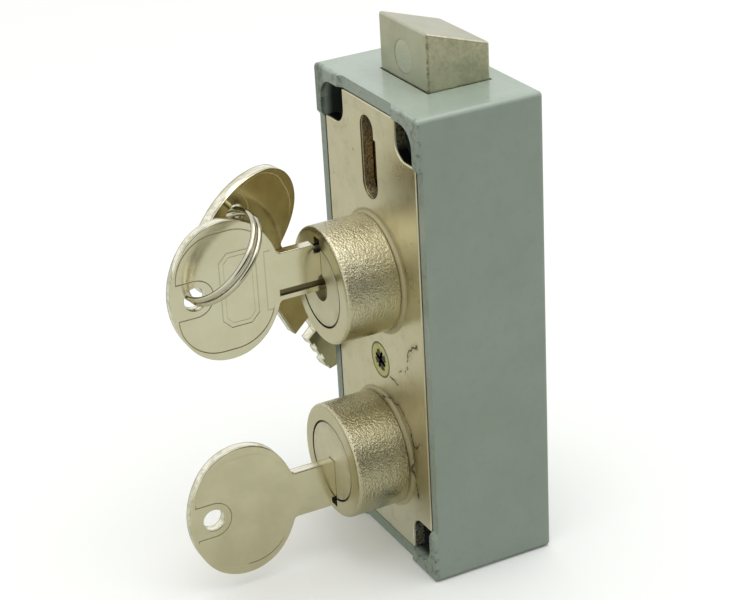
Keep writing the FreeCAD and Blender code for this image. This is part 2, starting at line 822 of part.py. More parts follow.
def key_ring(hole):
    """Split ring: two flat coils and the crossing between them, one tube on pairs of arcs.
    Gives the tube and the place on it where the spare key hangs."""
    lean = math.radians(ring_lean)
    inward = V(0, math.cos(lean), math.sin(lean))
    across = V(1, 0, 0)
    axis = inward.cross(across)
    centre = hole + inward * ring_mean_radius + ring_slack
    first = across * -1
    second = axis.cross(first)
    half = crossover_share / 2
    third = (1 - crossover_share) / 3
    turns = [half + third * step for step in range(4)]
    turns += [1]
    turns += [1 + half + third * step for step in range(4)]
    edges = []
    for start_turn, end_turn in zip(turns, turns[1:]):
        start, start_way = coil_point(centre, first, second, axis, start_turn)
        end, end_way = coil_point(centre, first, second, axis, end_turn)
        reach = biarc_reach(start, start_way, end, end_way)
        apex0 = start + start_way * reach
        apex1 = end - end_way * reach
        join = (apex0 + apex1) * 0.5
        edges.append(arc_to_join(start, apex0, join))
        edges.append(arc_to_join(join, apex1, end))
    path = Part.Wire(edges)
    start, start_way = coil_point(centre, first, second, axis, turns[0])
    section = Part.Wire([Part.Circle(start, start_way, wire_radius).toShape()])
    tube = path.makePipeShell([section], True, False)
    expected = math.pi * wire_radius**2 * path.Length
    print("ring tube volume", round(tube.Volume, 2), "expected", round(expected, 2))
    print("least gap of the ring to itself", round(ring_self_gap(path), 3))
    turn = math.radians(spare_angle)
    hang = centre - inward * ring_mean_radius * math.cos(turn) + across * ring_mean_radius * math.sin(turn)
    return tube, hang + spare_slack


def biarc_reach(start, start_way, end, end_way):
    """Length of the equal tangents of a pair of arcs between two points."""
    chord = end - start
    both = start_way + end_way
    a = both.dot(both) - 4
    b = -2 * chord.dot(both)
    c = chord.dot(chord)
    root = math.sqrt(b * b - 4 * a * c)
    return (-b - root) / (2 * a) if a < 0 else c / -b


def ring_self_gap(path):
    """Least distance between neighbouring turns, less the wire."""
    points = path.discretize(Number=320)
    per_turn = len(points) // 2
    least = min(
        points[i].distanceToPoint(points[j])
        for i in range(len(points))
        for j in range(i + per_turn // 2, len(points))
    )
    return least - 2 * wire_radius


def build():
    save("lock_case", lock_case())
    save("cover_plate", cover_plate())
    save("cover_screw", cover_screw())
    save("renter_plug", plug(renter_height, 1, True))
    save("guard_plug", plug(guard_height, -1, False))
    save("renter_cam", cam_washer(renter_height, True))
    save("guard_washer", cam_washer(guard_height, False))
    save("crank_pin", crank_pin())
    save("bolt", bolt())
    save("bolt_insert", bolt_insert())
    save("bolt_tail", bolt_tail())
    save("tail_rivets", Part.makeCompound([rivet_rod(side, 0) for side in (-1, 1)]))
    save("tail_guides", guide_posts())
    packs = (("renter", 1, renter_height, renter_reaches), ("guard", -1, guard_height, guard_reaches))
    for name, side, height, reaches in packs:
        save(name + "_fence", fence(side, height))
        save(name + "_lever_post", lever_post(side, height))
        save(name + "_spring_block", spring_block(side, height))
        save(name + "_lever_springs", lever_springs(side, height, reaches))
        for index, reach in enumerate(reaches):
            save(name + "_lever_" + str(index + 1), lever(index, side, height, reach))
    renter_key, renter_hole = placed_key(1, renter_reaches, renter_height, 0)
    guard_key, guard_hole = placed_key(-1, guard_reaches, guard_height, guard_bow_offset)
    save("renter_key", renter_key)
    save("guard_key", guard_key)
    ring, spare_hole = key_ring(renter_hole)
    save("key_ring", ring)
    save("spare_key", spare_key(spare_hole))
    print("renter bow hole", renter_hole, "guard bow hole", guard_hole)
    print("spare bow hole", spare_hole)
    print("lifts", [round(lift_angle(r), 4) for r in renter_reaches + guard_reaches])


build()
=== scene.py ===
import json
import math

import bmesh
import bpy
from mathutils import Matrix, Vector


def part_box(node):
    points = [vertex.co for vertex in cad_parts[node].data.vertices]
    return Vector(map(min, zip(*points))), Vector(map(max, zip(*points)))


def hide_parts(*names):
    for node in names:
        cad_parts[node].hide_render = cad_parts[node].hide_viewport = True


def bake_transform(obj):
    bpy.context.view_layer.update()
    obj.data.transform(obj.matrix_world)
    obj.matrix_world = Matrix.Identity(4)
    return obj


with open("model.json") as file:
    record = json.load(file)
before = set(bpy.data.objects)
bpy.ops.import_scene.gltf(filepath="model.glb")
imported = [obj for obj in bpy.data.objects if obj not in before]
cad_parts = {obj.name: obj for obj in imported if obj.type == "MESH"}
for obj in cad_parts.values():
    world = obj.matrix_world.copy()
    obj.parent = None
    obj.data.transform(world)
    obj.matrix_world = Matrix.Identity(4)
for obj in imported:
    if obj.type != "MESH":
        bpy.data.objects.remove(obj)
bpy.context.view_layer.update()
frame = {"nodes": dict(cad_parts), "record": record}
nodes = frame["nodes"]

MM = 0.001

# Depths on the lock that the finishes are set out from, in metres. The noses point to -Y.
NOSE_TIP = -26.64 * MM
LUG_PLANE = -14.3 * MM
PLATE_FACE = -13.54 * MM
BOLT_FRONT = -4.7 * MM
CAVITY_END = 12 * MM

# Heights on the lock
GUARD_NOSE = 23.08 * MM
SCREW_HEIGHT = 43.92 * MM
RENTER_NOSE = 64.75 * MM
BETWEEN_NOSES = -15 * MM
LOWER_POCKET = 11 * MM
UPPER_POCKET = 94 * MM
CAVITY_TOP = 103 * MM

# Half widths and radii
CAVITY_HALF = 19.62 * MM
BOLT_HALF = 9.9 * MM
NOSE_RADIUS = 12.7 * MM
PLUG_RADIUS = 8.95 * MM
SCREW_HEAD_RADIUS = 3.8 * MM

# Lines pressed into a key's bow, along the key from the bow's centre and across it: the rim
# line, the tab round the hole, and on the renter's bow a panel with cut corners and a bracket
KEY_HALF = 1.2 * MM
RING_HOLE_OFFSET = 7.0 * MM
TAB_RADIUS = 4.0 * MM
RIM_CENTRE = -0.3 * MM
RIM_HALF_LENGTH = 1.5 * MM
RIM_HALF_HEIGHT = 4.0 * MM
RIM_RADIUS = 9.1 * MM
PANEL_CENTRE = 2.65 * MM
PANEL_HALF_LENGTH = 4.05 * MM
PANEL_HALF_HEIGHT = 8.2 * MM
PANEL_CORNER = 10.4 * MM
PANEL_INNER_LINE = 0.95 * MM
BRACKET_CENTRE = 9.6 * MM
BRACKET_HALF_LENGTH = 1.0 * MM
BRACKET_HALF_HEIGHT = 6.5 * MM

# Edges and spring leaves. Past its bend a leaf keeps only a share of its tip's height and lean.
KEY_EDGE = 0.22 * MM
CASE_EDGE = 0.3 * MM
LEVER_COUNT = 6
LEAF_TIP = 2.0 * MM
TIP_SHARE = 0.15

# Hairline cracks in the plate's nickel, as points across and up the plate, in millimetres
CRACKS = [
    [(17.0, 54.2), (13.5, 51.5), (11.9, 48.3), (12.7, 47.4), (8.6, 44.7)],
    [(3.5, 41.5), (7.8, 41.0)],
    [(1.2, 36.1), (7.7, 35.9), (11.6, 33.2), (13.2, 28.5), (13.1, 23.0), (14.4, 17.0)],
    [(13.2, 28.5), (16.4, 31.0)],
]


class Flow:
    """A value on its way through a material. Python's operators on it add Math nodes."""

    def __init__(self, finish, socket):
        self.finish = finish
        self.socket = socket

    def math(self, operation, *others):
        values = dict(enumerate((self,) + others))
        return self.finish.node("ShaderNodeMath", {"operation": operation}, values)

    def __add__(self, other):
        return self.math("ADD", other)

    def __sub__(self, other):
        return self.math("SUBTRACT", other)

    def __mul__(self, other):
        return self.math("MULTIPLY", other)

    def __truediv__(self, other):
        return self.math("DIVIDE", other)

    def __pow__(self, other):
        return self.math("POWER", other)

    def __neg__(self):
        return self * -1

    def __abs__(self):
        return self.math("ABSOLUTE")

    def __rsub__(self, other):
        return self * -1 + other

    __radd__ = __add__
    __rmul__ = __mul__

    def high(self, other):
        return self.math("MAXIMUM", other)

    def low(self, other):
        return self.math("MINIMUM", other)

    def root(self):
        return self.math("SQRT")

    def step(self, start, end, low=0.0, high=1.0):
        """Smooth change from low to high as the value goes from start to end."""
        return self.finish.node(
            "ShaderNodeMapRange",
            {"interpolation_type": "SMOOTHSTEP"},
            {"Value": self, 1: start, 2: end, 3: low, 4: high},
        )

    def parts(self):
        splitter = self.finish.tree.nodes.new("ShaderNodeSeparateXYZ")
        self.finish.tree.links.new(self.socket, splitter.inputs[0])
        return [Flow(self.finish, output) for output in splitter.outputs]


class Finish:
    """One material, from its name and the plain numbers of its surface shader."""

    def __init__(self, name, **plain):
        self.material = bpy.data.materials.new(name)
        self.material.use_nodes = True
        self.tree = self.material.node_tree
        self.tree.nodes.clear()
        self.shader = self.tree.nodes.new("ShaderNodeBsdfPrincipled")
        output = self.tree.nodes.new("ShaderNodeOutputMaterial")
        self.tree.links.new(self.shader.outputs[0], output.inputs[0])
        self.set(**plain)
        self.place = self.node("ShaderNodeTexCoord", out="Object")

    def node(self, kind, settings=None, values=None, out=0):
        made = self.tree.nodes.new(kind)
        for key, value in (settings or {}).items():
            if key == "stops":
                ramp = made.color_ramp.elements
                while len(ramp) < len(value):
                    ramp.new(0.5)
                for element, (position, color) in zip(ramp, value):
                    element.position = position
                    element.color = color
            else:
                setattr(made, key, value)
        for key, value in (values or {}).items():
            if isinstance(value, Flow):
                self.tree.links.new(value.socket, made.inputs[key])
            else:
                made.inputs[key].default_value = value
        return Flow(self, made.outputs[out])

    def set(self, **values):
        for key, value in values.items():
            socket = self.shader.inputs[key.replace("_", " ")]
            if isinstance(value, Flow):
                self.tree.links.new(value.socket, socket)
            else:
                socket.default_value = value

    def noise(self, scale, detail=2.0, roughness=0.5, place=None, out=0):
        values = {
            "Vector": place or self.place,
            "Scale": scale,
            "Detail": detail,
            "Roughness": roughness,
        }
        return self.node("ShaderNodeTexNoise", values=values, out=out)

    def cells(self, scale, out="Distance"):
        return self.node("ShaderNodeTexVoronoi", values={"Vector": self.place, "Scale": scale}, out=out)

    def mix(self, share, first, second):
        """Colour between two colours; share 0 is the first."""
        return self.node(
            "ShaderNodeMix", {"data_type": "RGBA"}, {0: share, 6: first, 7: second}, out=2
        )

    def vector(self, operation, first, second, out=0):
        return self.node(
            "ShaderNodeVectorMath", {"operation": operation}, {0: first, 1: second}, out=out
        )

    def stretched(self, sizes):
        """The object's coordinates, drawn out or pressed together along each axis."""
        return self.vector("MULTIPLY", self.place, sizes)

    def along(self, point, direction):
        """How far a place lies from the point in a direction."""
        away = self.vector("SUBTRACT", self.place, point)
        return self.vector("DOT_PRODUCT", away, direction, out="Value")

    def bump(self, height, distance, strength=1.0):
        """Height runs from 0 to 1, and distance is its depth in metres."""
        self.set(
            Normal=self.node(
                "ShaderNodeBump",
                values={"Strength": strength, "Distance": distance, "Height": height},
                out="Normal",
            )
        )


def rgb(red, green, blue):
    """Colour given as it looks on a screen, 0 to 255."""
    def linear(value):
        value /= 255
        return value / 12.92 if value <= 0.04045 else ((value + 0.055) / 1.055) ** 2.4

    return (linear(red), linear(green), linear(blue), 1.0)


def around_noses(finish):
    """Distance from the nearer nose's axis, in metres."""
    x, _, z = finish.place.parts()
    upper = (x * x + (z - RENTER_NOSE) ** 2).root()
    lower = (x * x + (z - GUARD_NOSE) ** 2).root()
    return upper.low(lower)


def case_paint():
    """Grey-green paint with orange peel, worn on the front rims, with painted shade in the seams and
    pockets.
    """
    finish = Finish("case_paint", Metallic=0.0, Coat_Weight=0.25, Coat_Roughness=0.12)
    x, y, z = finish.place.parts()
    peel = finish.noise(1100, detail=3, roughness=0.55)
    cloud = finish.noise(45, detail=4, roughness=0.6)
    mottle = finish.noise(420, detail=4, roughness=0.7)
    color = finish.mix(cloud.step(0.3, 0.7), rgb(158, 172, 159), rgb(165, 177, 165))
    color = finish.mix(mottle.step(0.45, 0.75, 0, 0.3), color, rgb(146, 158, 146))
    spot = finish.cells(150)
    chance = finish.cells(150, out="Color").parts()[0]
    speck = spot.step(0.03, 0.06, 1, 0) * chance.step(0.8, 0.85)
    color = finish.mix(speck, color, rgb(70, 78, 70))
    front = y.step(LUG_PLANE + 0.25 * MM, LUG_PLANE + 1.3 * MM, 1, 0)
    rough_cast = finish.noise(750, detail=5, roughness=0.7)
    scuff = front * rough_cast.step(0.48, 0.62) * finish.noise(90, detail=2).step(0.4, 0.55)
    left = x.step(-17 * MM, -19 * MM) * front
    color = finish.mix(left * rough_cast.step(0.4, 0.6, 0.45, 0.75), color, rgb(62, 72, 64))
    color = finish.mix(scuff * 0.7, color, rgb(92, 100, 92))
    # painted shade: a dark line on the case's rims beside the cover plate's edges, where the two parts
    # meet
    seam_shade = abs(abs(x) - CAVITY_HALF - 0.1 * MM).step(0.1 * MM, 0.4 * MM, 1, 0)
    seam_shade = seam_shade * y.step(LUG_PLANE + 1.6 * MM, LUG_PLANE + 1.2 * MM)
    seam_shade = seam_shade * z.step(LOWER_POCKET, LOWER_POCKET + 1 * MM)
    seam_shade = seam_shade * z.step(UPPER_POCKET, UPPER_POCKET - 1 * MM)
    pocket = y.step(LUG_PLANE + 0.9 * MM, LUG_PLANE + 3 * MM) * y.step(CAVITY_END, CAVITY_END - 1 * MM)
    pocket = pocket * (abs(x) - CAVITY_HALF).step(0.1 * MM, 0.5 * MM, 1, 0)
    pocket = pocket * z.step(2.0 * MM, 2.4 * MM)
    # painted shade: the inside of the pockets is painted near-black
    pocket_shade = pocket * z.step(CAVITY_TOP, CAVITY_TOP - 0.4 * MM) * 0.9
    color = finish.mix(pocket_shade.high(seam_shade), color, rgb(24, 30, 28))
    finish.set(
        Base_Color=color,
        Roughness=finish.noise(300, detail=2).step(0.3, 0.7, 0.3, 0.42) - pocket * 0.15,
    )
    height = peel * 0.4 + rough_cast * (front * 0.9 + 0.12) - speck * 0.8
    finish.bump(height, 0.07 * MM, 0.55)
    return finish.material


def polyline(x, z, points):
    """Distance in metres to a line through points that are given in millimetres."""
    nearest = None
    for (x0, z0), (x1, z1) in zip(points, points[1:]):
        along_x = (x1 - x0) * MM
        along_z = (z1 - z0) * MM
        away_x = x - x0 * MM
        away_z = z - z0 * MM
        share = (away_x * along_x + away_z * along_z) / (along_x**2 + along_z**2)
        share = share.high(0).low(1)
        off_x = away_x - share * along_x
        off_z = away_z - share * along_z
        distance = (off_x * off_x + off_z * off_z).root()
        nearest = distance if nearest is None else nearest.low(distance)
    return nearest


def warped(finish, amount, scale):
    """The object's coordinates, shaken by a soft noise of that many metres."""
    shake = finish.noise(scale, detail=3, out="Color")
    offset = finish.vector("SUBTRACT", shake, (0.5, 0.5, 0.5))
    scaled = finish.node(
        "ShaderNodeVectorMath", {"operation": "SCALE"}, {0: offset, "Scale": amount}
    )
    return finish.vector("ADD", finish.place, scaled)


def cover_nickel():
    """Plated casting: bright plate, tarnished and cracked, with painted shade on the tarnished strip, at
    the noses' roots, in the gaps and in the corner notches, a painted reflection that lightens its foot,
    and rough cast sides on the noses.
    """
    finish = Finish("cover_nickel", Metallic=1.0)
    x, y, z = finish.place.parts()
    radius = around_noses(finish)
    ahead = y.step(PLATE_FACE - 0.9 * MM, PLATE_FACE - 0.4 * MM, 1, 0)
    side = ahead * radius.step(NOSE_RADIUS - 0.7 * MM, NOSE_RADIUS - 0.2 * MM)
    cloud = finish.noise(70, detail=4, roughness=0.6)
    color = finish.mix(cloud.step(0.3, 0.7), rgb(203, 196, 164), rgb(214, 208, 180))
    pit_field = finish.cells(420)
    pit_chance = finish.cells(420, out="Color").parts()[0]
    pits = pit_field.step(0.08, 0.16, 1, 0) * pit_chance.step(0.86, 0.9) * (1 - side)
    color = finish.mix(pits * 0.6, color, rgb(120, 104, 72))

    # the right-hand strip beside the lower nose is tarnished and also darkened as painted shade, and the
    # plate's foot is painted lighter as a painted reflection
    tarnish_and_shade = x.step(4 * MM, 17 * MM) * z.step(60 * MM, 28 * MM) * z.step(9 * MM, 19 * MM) * (1 - side)
    tarnish_and_shade = tarnish_and_shade * finish.noise(140, detail=5, roughness=0.7).step(0.25, 0.6, 0.55, 1)
    # painted reflection: the plate is painted lighter towards its foot
    color = finish.mix(z.step(22 * MM, 4 * MM) * (1 - ahead), color, rgb(250, 247, 228))
    color = finish.mix(tarnish_and_shade * 0.45, color, rgb(142, 128, 90))
    mottle = finish.noise(240, detail=5, roughness=0.75).step(0.5, 0.66)
    color = finish.mix(mottle * (1 - ahead) * 0.22, color, rgb(156, 146, 114))
    crooked_x, _, crooked_z = warped(finish, 2.4 * MM, 520).parts()
    crack = None
    for points in CRACKS:
        distance = polyline(crooked_x, crooked_z, points)
        crack = distance if crack is None else crack.low(distance)
    broken = finish.noise(330, detail=4, roughness=0.7)
    stain = crack.step(0.08 * MM, 0.34 * MM, 1, 0) * broken.step(0.34, 0.46) * (1 - ahead)
    halo = crack.step(0.2 * MM, 1.6 * MM, 1, 0) * broken.step(0.4, 0.6) * (1 - ahead)
    color = finish.mix(halo * 0.35, color, rgb(120, 100, 62))
    color = finish.mix(stain * 0.85, color, rgb(66, 50, 30))

    # the cast sides of the noses: sparkling and pitted above, smoother below
    above = z - RENTER_NOSE
    on_upper = above.step(BETWEEN_NOSES, BETWEEN_NOSES + 0.1 * MM)
    on_lower = above.step(BETWEEN_NOSES, BETWEEN_NOSES + 0.1 * MM, 1, 0)
    height_on_nose = on_upper * above + on_lower * (z - GUARD_NOSE)
    coarse = height_on_nose.step(-8 * MM, 0.5 * MM, 0.25, 1)
    grain = finish.noise(2000, detail=3, roughness=0.6)
    blotch = finish.noise(620, detail=4, roughness=0.65)
    rough_spots = grain.step(0.36, 0.5, 0.22, 0) + blotch.step(0.3, 0.5, 0.12, 0)
    color = finish.mix(side * coarse * rough_spots, color, rgb(112, 102, 70))
    # painted shade: a darker, rougher ring where each nose meets the plate
    root = y.step(PLATE_FACE - 1.1 * MM, PLATE_FACE - 0.7 * MM)
    root = root * radius.step(NOSE_RADIUS - 0.2 * MM, NOSE_RADIUS - 0.05 * MM)
    root = root * radius.step(NOSE_RADIUS + 1.2 * MM, NOSE_RADIUS + 0.7 * MM)
    color = finish.mix(root * 0.4, color, rgb(164, 154, 116))
    rust = radius.step(NOSE_RADIUS + 2.0 * MM, NOSE_RADIUS - 0.1 * MM)
    rust = rust * y.step(NOSE_TIP + 9 * MM, PLATE_FACE - 0.5 * MM)
    rust = rust * (x + z - GUARD_NOSE).step(6 * MM, 13 * MM) * z.step(44 * MM, 40 * MM)
    color = finish.mix(rust * (1 - root) * grain.step(0.44, 0.6) * 0.6, color, rgb(104, 84, 50))

    # dark lines of painted shade in the gaps round the plugs and the screw, and the walls of the slot
    # and the corner notches, the corner ones near-black with painted shade
    plug_gap_shade = ahead * abs(radius - PLUG_RADIUS - 0.1 * MM).step(0.06 * MM, 0.16 * MM, 1, 0)
    to_screw = (x * x + (z - SCREW_HEIGHT) ** 2).root()
    screw_seat_shade = abs(to_screw - SCREW_HEAD_RADIUS - 0.1 * MM).step(0.08 * MM, 0.26 * MM, 1, 0) * (1 - ahead)
    wall = y.step(PLATE_FACE + 0.36 * MM, PLATE_FACE + 0.5 * MM)
    corner_wall_shade = wall * abs(x).step(11 * MM, 12 * MM)
    color = finish.mix(wall * grain.step(0.35, 0.6, 0.9, 0.3), color, rgb(96, 90, 64))
    # painted shade: the walls of the corner notches, inside the pockets, are painted near-black
    color = finish.mix(corner_wall_shade, color, rgb(44, 50, 48))
    color = finish.mix(plug_gap_shade.high(screw_seat_shade) * 0.9, color, rgb(44, 36, 22))
    roughness = cloud.step(0.3, 0.7, 0.26, 0.34) + stain * 0.3 + tarnish_and_shade * 0.1 + root * 0.4
    finish.set(Base_Color=color, Roughness=roughness + wall * 0.2 - side * 0.08)
    height = side * (1 - root) * coarse * (grain * 0.85 + blotch * 0.6)
    height = height + finish.noise(900, detail=3) * 0.05
    height = height + wall * (1 - corner_wall_shade) * grain * 0.7 - pits * 0.2 - stain * 0.15
    finish.bump(height, 0.26 * MM, 1.0)
    return finish.material


def plain_metal(name, light, dark, roughness, grain=0.05):
    """Clouded metal with a fine grain, whose depth is in millimetres."""
    finish = Finish(name, Metallic=1.0)
    cloud = finish.noise(120, detail=4, roughness=0.6)
    fine = finish.noise(1600, detail=3, roughness=0.6)
    finish.set(
        Base_Color=finish.mix(cloud.step(0.3, 0.7), dark, light),
        Roughness=cloud.step(0.25, 0.75, roughness - 0.05, roughness + 0.05),
    )
    finish.bump(fine, grain * MM, 0.5)
    return finish.material


def key_nickel(key):
    """Polished key: a rim line inside the bow's edge, a tab round the hole, fine scratches, side walls
    painted lighter as a painted highlight with a painted dark reflection line beside each face, and
    painted shade in the blade's grooved strip.
    """
    finish = Finish(key["name"], Metallic=1.0)
    u = finish.along(key["centre"], key["along"])
    v = finish.along(key["centre"], key["across"])
    w = finish.along(key["centre"], key["face"])
    fill_u = (abs(u - RIM_CENTRE) - RIM_HALF_LENGTH).high(0)
    fill_v = (abs(v) - RIM_HALF_HEIGHT).high(0)
    rim = (fill_u * fill_u + fill_v * fill_v).root() - RIM_RADIUS
    hole_u = (u + RING_HOLE_OFFSET).high(0)
    tab = (hole_u * hole_u + v * v).root() - TAB_RADIUS
    field = rim.high(-tab)
    fade = u.step(5 * MM, 8.5 * MM, 1, 0).high(v.step(-5.5 * MM, -7 * MM))
    if key["rim_below_only"]:
        tab_part = tab.step(0.4 * MM, 0.8 * MM, 1, 0)
        fade = tab_part.high(v.step(-8.5 * MM, -10 * MM) * u.step(-1 * MM, 1 * MM))
    line = abs(field).step(0.05 * MM, 0.15 * MM, 1, 0) * fade
    step_height = field.step(-0.12 * MM, 0.12 * MM) * 0.5
    if key["panel"]:
        box_u = abs(u - PANEL_CENTRE)
        box_v = abs(v)
        cut_corner = (box_u + box_v - PANEL_CORNER) * 0.707
        panel = (box_u - PANEL_HALF_LENGTH).high(box_v - PANEL_HALF_HEIGHT).high(cut_corner)
        bracket = (abs(u - BRACKET_CENTRE) - BRACKET_HALF_LENGTH).high(abs(v) - BRACKET_HALF_HEIGHT)
        bracket_line = abs(bracket).step(0.05 * MM, 0.14 * MM, 1, 0) * u.step(10.1 * MM, 9.9 * MM)
        line = line.high(abs(panel).step(0.05 * MM, 0.14 * MM, 1, 0) * 0.55)
        line = line.high(abs(panel + PANEL_INNER_LINE).step(0.04 * MM, 0.12 * MM, 1, 0) * 0.4)
        line = line.high(bracket_line * 0.45)
        step_height = step_height + panel.step(-0.1 * MM, 0.1 * MM) * 0.3
    # painted shade: the blade's grooved strip is painted dark
    groove_shade = w.step(KEY_HALF - 0.12 * MM, KEY_HALF - 0.2 * MM) * w.step(0.3 * MM, 0.4 * MM)
    groove_v = v * key["groove_side"]
    groove_shade = groove_shade * groove_v.step(-4.4 * MM, -4.3 * MM) * groove_v.step(-2.7 * MM, -2.8 * MM)
    groove_shade = groove_shade * u.step(11.4 * MM, 11.8 * MM)
    cloud = finish.noise(160, detail=4, roughness=0.6)
    scratch = finish.noise(500, detail=4, place=finish.stretched((1, 0.12, 1.6)), roughness=0.7)
    color = finish.mix(cloud.step(0.3, 0.7), rgb(*key["dark"]), rgb(*key["light"]))
    face = abs(w).step(KEY_HALF - 0.1 * MM, KEY_HALF - 0.04 * MM)
    # painted highlight: the side walls are painted lighter than the faces
    wall = finish.mix(scratch.step(0.4, 0.65), rgb(240, 238, 220), rgb(206, 202, 176))
    # painted reflection: a dark line on the side wall beside each face
    beside = abs(abs(w) - KEY_HALF + 0.34 * MM).step(0.05 * MM, 0.16 * MM, 1, 0)
    wall = finish.mix(beside * 0.55, wall, rgb(120, 108, 72))
    color = finish.mix(face, wall, color)
    color = finish.mix(line * face * 0.6, color, rgb(*key["line"]))
    color = finish.mix(groove_shade * 0.9, color, rgb(92, 80, 48))
    roughness = cloud.step(0.3, 0.7, 0.15, 0.2) + scratch.step(0.55, 0.7, 0, 0.06)
    finish.set(Base_Color=color, Roughness=roughness + line * 0.15 + groove_shade * 0.2)
    height = step_height - line * 0.35 + scratch * 0.02 + finish.noise(60) * 0.05
    finish.bump(height, 0.12 * MM, 0.8)
    return finish.material


def plug_nickel():
    """Satin plug, with painted shade in its chamfer, and dirt about the edge."""
    finish = Finish("plug_nickel", Metallic=1.0)
    radius = around_noses(finish)
    cloud = finish.noise(120, detail=4, roughness=0.6)
    dirt = finish.noise(260, detail=4, roughness=0.7).step(0.4, 0.65)
    edge = radius.step(PLUG_RADIUS - 0.34 * MM, PLUG_RADIUS - 0.22 * MM)
    grime = radius.step(PLUG_RADIUS - 2.2 * MM, PLUG_RADIUS - 0.4 * MM) * dirt
    color = finish.mix(cloud.step(0.3, 0.7), rgb(208, 202, 176), rgb(222, 217, 194))
    color = finish.mix(grime * 0.35, color, rgb(150, 140, 104))
    _, y, _ = finish.place.parts()
    in_nose = y.step(0, 0.1 * MM, 1, 0)
    # painted shade: the chamfer at the plug's front edge is painted dark
    color = finish.mix(edge * in_nose * dirt.step(0, 1, 0.85, 0.5), color, rgb(60, 50, 32))
    finish.set(Base_Color=color, Roughness=cloud.step(0.25, 0.75, 0.44, 0.52))
    finish.bump(finish.noise(1600, detail=3, roughness=0.6), 0.05 * MM, 0.5)
    return finish.material


def zinc_screw():
    """Yellow zinc with a rainbow tint, with painted shade in the cross recess, which shows wear, and at
    the head's edge.
    """
    finish = Finish("screw_yellow_zinc", Metallic=1.0, Roughness=0.3)
    tint = finish.node(
        "ShaderNodeValToRGB",
        {
            "stops": [
                (0.3, rgb(172, 166, 98)),
                (0.48, rgb(190, 184, 120)),
                (0.6, rgb(158, 170, 120)),
                (0.75, rgb(172, 142, 106)),
            ]
        },
        {0: finish.noise(350, detail=2)},
    )
    x, _, z = finish.place.parts()
    z = z - SCREW_HEIGHT
    ragged = finish.noise(900, detail=3) * (0.9 * MM) - 0.45 * MM
    turn = math.radians(-25)
    across = abs(x * math.cos(turn) - z * math.sin(turn)) + ragged
    upright = abs(x * math.sin(turn) + z * math.cos(turn)) + ragged
    middle = ((x * x + z * z).root() + ragged).step(1.5 * MM, 1.9 * MM, 1, 0)
    # painted shade: the cross recess, ragged with wear, is painted dark
    worn_recess_shade = across.low(upright).step(0.6 * MM, 0.9 * MM, 1, 0)
    worn_recess_shade = worn_recess_shade * across.high(upright).step(2.3 * MM, 2.5 * MM, 1, 0)
    worn_recess_shade = worn_recess_shade.high(middle)
    # painted shade: a dark ring at the head's edge, where it meets the plate
    edge = (x * x + z * z).root().step(SCREW_HEAD_RADIUS - 0.3 * MM, SCREW_HEAD_RADIUS - 0.1 * MM)
    finish.set(Base_Color=finish.mix(worn_recess_shade.high(edge * 0.6), tint, rgb(38, 30, 16)))
    finish.bump(finish.noise(1500, detail=3) - worn_recess_shade * 0.8, 0.05 * MM, 0.6)
    return finish.material


def bolt_nickel():
    """Cast bolt: satin faces, a grainier right side lightened with a painted highlight, and a dark line
    of wear down its front corner.
    """
    finish = Finish("bolt_nickel", Metallic=1.0)
    x, y, _ = finish.place.parts()
    right = x.step(BOLT_HALF - 0.5 * MM, BOLT_HALF - 0.2 * MM)
    cloud = finish.noise(150, detail=5, roughness=0.65)
    grain = finish.noise(1100, detail=5, roughness=0.7)
    color = finish.mix(cloud.step(0.3, 0.7), rgb(176, 175, 152), rgb(192, 191, 170))
    # painted highlight: the right side is painted lighter than the other faces
    color = finish.mix(right * 0.85, color, rgb(232, 228, 200))
    color = finish.mix(right * (grain + cloud).step(0.7, 1.2, 0.4, 0), color, rgb(150, 146, 112))
    off_x = x - BOLT_HALF + 0.15 * MM
    off_y = y - BOLT_FRONT - 0.15 * MM
    corner = (off_x * off_x + off_y * off_y).root().step(0.12 * MM, 0.42 * MM, 1, 0)
    color = finish.mix(corner * grain.step(0.3, 0.6, 0.9, 0.4), color, rgb(98, 90, 60))
    finish.set(Base_Color=color, Roughness=cloud.step(0.25, 0.75, 0.28, 0.36) + right * 0.08)
    finish.bump(grain * (right * 1.4 + 0.25) + cloud * 0.3, 0.1 * MM, 0.6)
    return finish.material


# How the spare key hangs: the way its blade points, the way its face looks, and its bow's hole
SPARE_ALONG = Vector((-0.334, 0.467, -0.819)).normalized()
SPARE_FACE = Vector((0.917, 0.362, -0.168))
SPARE_FACE = (SPARE_FACE - SPARE_ALONG * SPARE_FACE.dot(SPARE_ALONG)).normalized()
SPARE_HOLE = Vector((-6.42, -42.5, 82.7)) * MM

# Each key's bow centre, the directions along the key, across it and out of its face, its marks
# and its colours
KEYS = {
    "renter_key": {
        "name": "renter_key_nickel",
        "centre": (0, -47.7 * MM, 69.6 * MM),
        "along": (0, 1, 0),
        "across": (0, 0, 1),
        "face": (1, 0, 0),
        "panel": True,
        "rim_below_only": False,
        "groove_side": 1,
        "line": (112, 100, 66),
        "light": (226, 222, 198),
        "dark": (218, 213, 186),
    },
    "guard_key": {
        "name": "guard_key_nickel",
        "centre": (0, -48.3 * MM, 18.23 * MM),
        "along": (0, 1, 0),
        "across": (0, 0, 1),
        "face": (1, 0, 0),
        "panel": False,
        "rim_below_only": True,
        "groove_side": -1,
        "line": (112, 100, 66),
        "light": (222, 216, 188),
        "dark": (212, 206, 176),
    },
    "spare_key": {
        "name": "spare_key_nickel",
        "centre": tuple(SPARE_HOLE + SPARE_ALONG * RING_HOLE_OFFSET),
        "along": tuple(SPARE_ALONG),
        "across": tuple(SPARE_FACE.cross(SPARE_ALONG)),
        "face": tuple(SPARE_FACE),
        "panel": False,
        "rim_below_only": False,
        "groove_side": 1,
        "line": (236, 226, 190),
        # painted shade: the spare's nickel is given darker colours than the other keys' nickel
        "light": (196, 186, 148),
        "dark": (180, 168, 126),
    },
}


